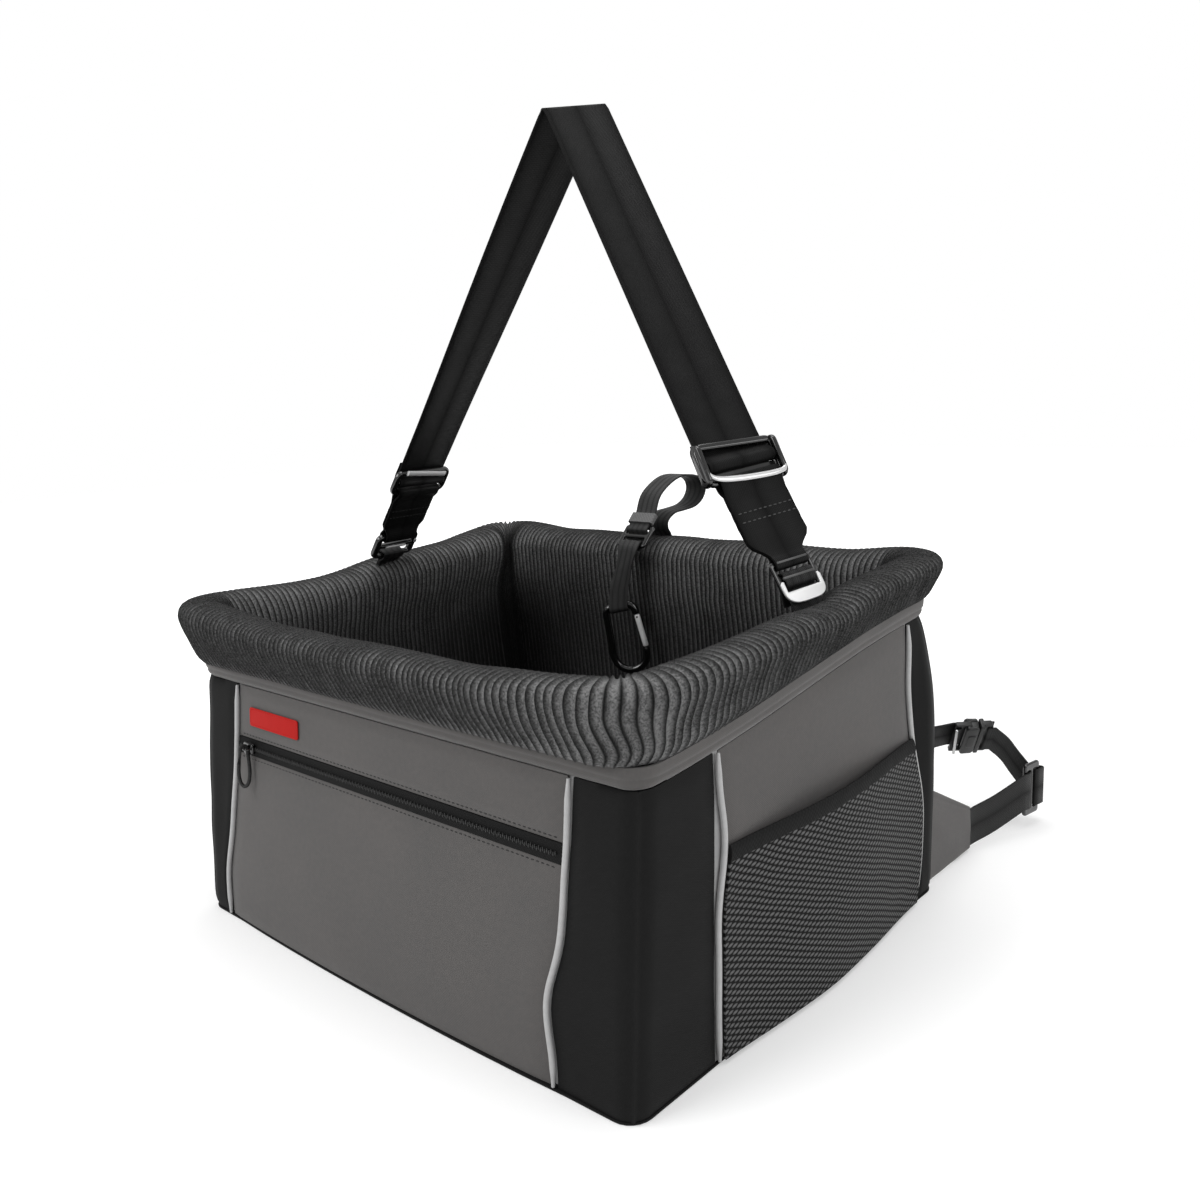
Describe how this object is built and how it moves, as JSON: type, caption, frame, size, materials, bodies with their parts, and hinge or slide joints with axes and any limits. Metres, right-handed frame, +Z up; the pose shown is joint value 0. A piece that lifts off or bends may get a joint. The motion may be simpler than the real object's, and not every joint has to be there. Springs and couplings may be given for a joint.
{
  "type": "dog car seat",
  "caption": "Soft open box that seats a small dog in a car, with a padded plush rim, zip and mesh pockets, a headrest strap, an inner tether and a rear belt.",
  "frame": {"origin": "centre of the box's underside, on the surface that it stands on", "axes": "+Z up, -Y the front wall with the zip pocket, +X to the right of someone facing that wall"},
  "size_m": [0.441, 0.5011, 0.5487],
  "materials": {
    "foam_board": "plain foam",
    "grey_cloth": "matte woven",
    "black_cloth": "matte woven",
    "light_piping": "satin",
    "grey_plush": "ribbed plush",
    "zip_tape": "matte",
    "black_enamel": "gloss",
    "black_plastic": "satin",
    "red_patch": "woven",
    "black_net": "net",
    "bright_steel": "bright",
    "black_webbing": "woven webbing"
  },
  "bodies": {
    "seat": {"base_board": "foam_board", "front_board": "foam_board", "back_board": "foam_board", "left_board": "foam_board", "right_board": "foam_board", "bottom_panel": "black_cloth", "front_panel_upper": "grey_cloth", "front_panel_lower": "grey_cloth", "pocket_lining": "black_cloth", "right_panel": "grey_cloth", "left_panel": "grey_cloth", "back_panel": "grey_cloth", "corner_panel_front_left": "black_cloth", "corner_panel_front_right": "black_cloth", "corner_panel_back_left": "black_cloth", "corner_panel_back_right": "black_cloth", "piping_front_left": "light_piping", "piping_front_right": "light_piping", "piping_left_front": "light_piping", "piping_left_back": "light_piping", "piping_right_front": "light_piping", "piping_right_back": "light_piping", "collar_band": "grey_cloth", "liner": "grey_plush", "floor_pad": "grey_plush", "collar": "grey_plush", "zip_tape": "zip_tape", "zip_coil": "zip_tape", "patch": "red_patch", "pocket_mesh_right": "black_net", "pocket_mesh_left": "black_net", "pocket_binding_right": "black_cloth", "pocket_binding_left": "black_cloth", "anchor_webbing_right": "black_webbing", "anchor_webbing_left": "black_webbing", "tether_slider": "black_plastic", "tether_webbing": "black_webbing", "belt_wing_right": "grey_cloth", "belt_wing_left": "grey_cloth", "belt_glide": "black_plastic", "belt_webbing_right": "black_webbing", "belt_webbing_left": "black_webbing", "belt_socket": "black_plastic"},
    "head_strap": {"head_strap": "black_webbing", "strap_adjuster_left": "black_enamel", "strap_adjuster_right": "black_enamel", "strap_roller_left": "black_enamel", "strap_roller_right": "black_enamel", "strap_stub_left": "black_webbing", "strap_stub_right": "black_webbing", "anchor_buckle": "black_plastic"},
    "ladder_lock": {"ladder_lock": "bright_steel"},
    "zip_slider": {"zip_slider": "black_enamel"},
    "zip_puller": {"zip_puller": "black_plastic"},
    "tether_keeper": {"tether_keeper": "black_net"},
    "tether_drop": {"tether_drop": "black_webbing"},
    "carabiner": {"carabiner_body": "black_enamel"},
    "carabiner_gate": {"carabiner_gate": "bright_steel"},
    "belt_plug": {"belt_plug": "black_plastic"}
  },
  "joints": [
    {"name": "head_strap_swing", "type": "hinge", "parent": "seat", "child": "head_strap", "pos_m": [0, 0.0155, 0.23082], "axis": [0.9997, 0.0231, 0.0019], "range_deg": [-11, 20], "deforming": ["anchor_webbing_right", "anchor_webbing_left"]},
    {"name": "ladder_lock_tilt", "type": "hinge", "parent": "head_strap", "child": "ladder_lock", "pos_m": [0.17864, 0.02187, 0.25687], "axis": [-0.3004, -0.9459, -0.1225], "range_deg": [0, 25], "deforming": ["strap_stub_right", "anchor_webbing_right"]},
    {"name": "zip_slide", "type": "slide", "parent": "seat", "child": "zip_slider", "axis": [1, 0, 0], "range_m": [0, 0.284]},
    {"name": "zip_puller_swing", "type": "hinge", "parent": "zip_slider", "child": "zip_puller", "pos_m": [-0.1413, -0.16288, 0.1306], "axis": [-1, 0, 0], "range_deg": [0, 150]},
    {"name": "tether_keeper_slide", "type": "slide", "parent": "seat", "child": "tether_keeper", "axis": [0, 0.7071, 0.7071], "range_m": [0, 0.004], "deforming": ["tether_webbing"]},
    {"name": "tether_swing", "type": "hinge", "parent": "seat", "child": "tether_drop", "pos_m": [-0.03, 0.12292, 0.23792], "axis": [-1, 0, 0], "range_deg": [0, 60], "deforming": ["tether_drop"]},
    {"name": "carabiner_swing", "type": "hinge", "parent": "tether_drop", "child": "carabiner", "pos_m": [-0.042, 0.119, 0.188], "axis": [-0.8501, -0.4908, -0.1908], "range_deg": [-5, 60]},
    {"name": "carabiner_gate_open", "type": "hinge", "parent": "carabiner", "child": "carabiner_gate", "pos_m": [-0.02997, 0.12595, 0.18204], "axis": [-0.5, 0.866, 0], "range_deg": [0, 12], "stiffness_Nm_per_rad": 0.02, "springref_deg": -11.46},
    {"name": "belt_plug_slide", "type": "slide", "parent": "seat", "child": "belt_plug", "axis": [0.766, 0.6428, 0], "range_m": [0, 0.008], "deforming": ["belt_webbing_right"]}
  ]
}
